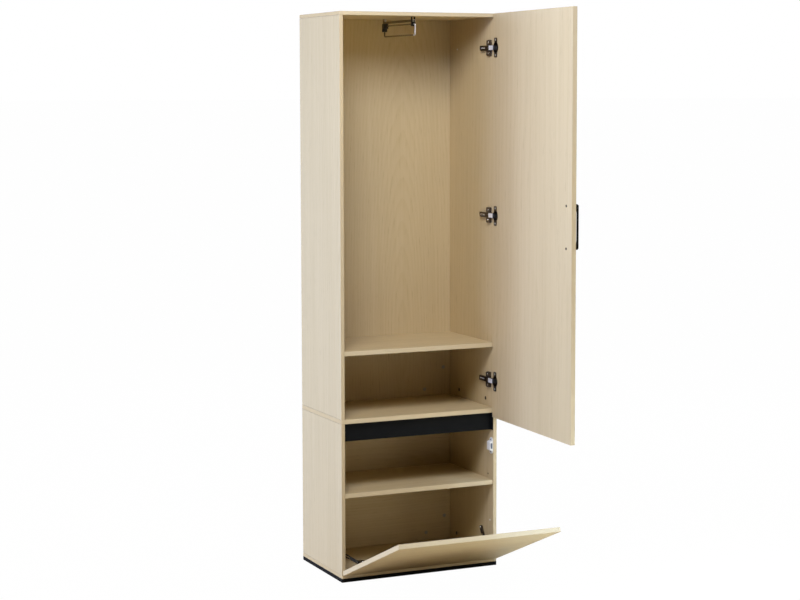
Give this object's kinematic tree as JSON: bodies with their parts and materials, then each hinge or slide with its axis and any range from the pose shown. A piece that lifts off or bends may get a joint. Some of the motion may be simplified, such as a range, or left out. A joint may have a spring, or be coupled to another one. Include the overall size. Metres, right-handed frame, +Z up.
{
  "type": "hallway wardrobe",
  "caption": "Tall narrow hallway wardrobe: coat cupboard with a hinged door and pull-out hanging rail above a shoe cupboard with a drop-down flap, shown open.",
  "frame": {"origin": "on the floor, at the centre of the case's base", "axes": "+Z up, +X to the right seen from the front, the front faces -Y"},
  "size_m": [0.5543, 0.8864, 1.8],
  "materials": {
    "ash_laminate": "light ash melamine on chipboard, matt, fine straight grain",
    "black_laminate": "black melamine on chipboard, matt",
    "black_enamel": "black enamel, satin",
    "black_plastic": "moulded, matt",
    "white_plastic": "moulded, satin",
    "magnet": "ground magnet between steel cheeks",
    "zinc_steel": "bright zinc plate",
    "bright_steel": "bright nickel or chrome plate",
    "dark_nickel": "dark bronzed nickel plate"
  },
  "bodies": {
    "carcass": {"base_board": "black_laminate", "catch_housing": "white_plastic", "catch_magnet": "magnet", "door_hinge_bottom_arm": "dark_nickel", "door_hinge_bottom_link": "bright_steel", "door_hinge_bottom_plate": "dark_nickel", "door_hinge_middle_arm": "dark_nickel", "door_hinge_middle_link": "bright_steel", "door_hinge_middle_plate": "dark_nickel", "door_hinge_top_arm": "dark_nickel", "door_hinge_top_link": "bright_steel", "door_hinge_top_plate": "dark_nickel", "flap_hinge_left_arm": "dark_nickel", "flap_hinge_left_link": "bright_steel", "flap_hinge_left_plate": "dark_nickel", "flap_hinge_right_arm": "dark_nickel", "flap_hinge_right_link": "bright_steel", "flap_hinge_right_plate": "dark_nickel", "grip_strip": "black_laminate", "lower_back": "ash_laminate", "lower_bottom": "ash_laminate", "lower_left_side": "ash_laminate", "lower_right_side": "ash_laminate", "lower_shelf": "ash_laminate", "lower_shelf_pin_left_back": "bright_steel", "lower_shelf_pin_left_front": "bright_steel", "lower_shelf_pin_right_back": "bright_steel", "lower_shelf_pin_right_front": "bright_steel", "rail_front_guide": "black_plastic", "rail_track": "bright_steel", "stay_plate_left": "dark_nickel", "stay_plate_right": "dark_nickel", "upper_back": "ash_laminate", "upper_bottom": "ash_laminate", "upper_left_side": "ash_laminate", "upper_right_side": "ash_laminate", "upper_shelf": "ash_laminate", "upper_shelf_pin_left_back": "bright_steel", "upper_shelf_pin_left_front": "bright_steel", "upper_shelf_pin_right_back": "bright_steel", "upper_shelf_pin_right_front": "bright_steel", "upper_top": "ash_laminate"},
    "door": {"door_handle": "black_enamel", "door_hinge_bottom_cup": "dark_nickel", "door_hinge_middle_cup": "dark_nickel", "door_hinge_top_cup": "dark_nickel", "door_panel": "ash_laminate"},
    "flap": {"catch_strike": "zinc_steel", "flap_hinge_left_cup": "dark_nickel", "flap_hinge_right_cup": "dark_nickel", "flap_panel": "ash_laminate", "stay_bracket_left": "zinc_steel", "stay_bracket_right": "zinc_steel"},
    "flap_stays": {"stay_arm_left": "dark_nickel", "stay_arm_right": "dark_nickel"},
    "pull_out_rail": {"rail_carriage": "black_plastic", "rail_wire": "bright_steel"}
  },
  "joints": [
    {"name": "door_hinge", "type": "hinge", "parent": "carcass", "child": "door", "pos_m": [0.2655, -0.18, 1.14675], "axis": [0, 0, 1], "range_deg": [-88, 7]},
    {"name": "flap_hinge", "type": "hinge", "parent": "carcass", "child": "flap", "pos_m": [0, -0.18, 0.0325], "axis": [1, 0, 0], "range_deg": [-67.2, 0]},
    {"name": "stay_pivot", "type": "hinge", "parent": "flap", "child": "flap_stays", "pos_m": [0, -0.25427, 0.08433], "axis": [1, 0, 0], "range_deg": [0, 33.6]},
    {"name": "rail_slide", "type": "slide", "parent": "carcass", "child": "pull_out_rail", "axis": [0, -1, 0], "range_m": [0, 0.036]}
  ],
  "couplings": [
    {"joint": "stay_pivot", "follows": "flap_hinge", "ratio": -0.5}
  ]
}
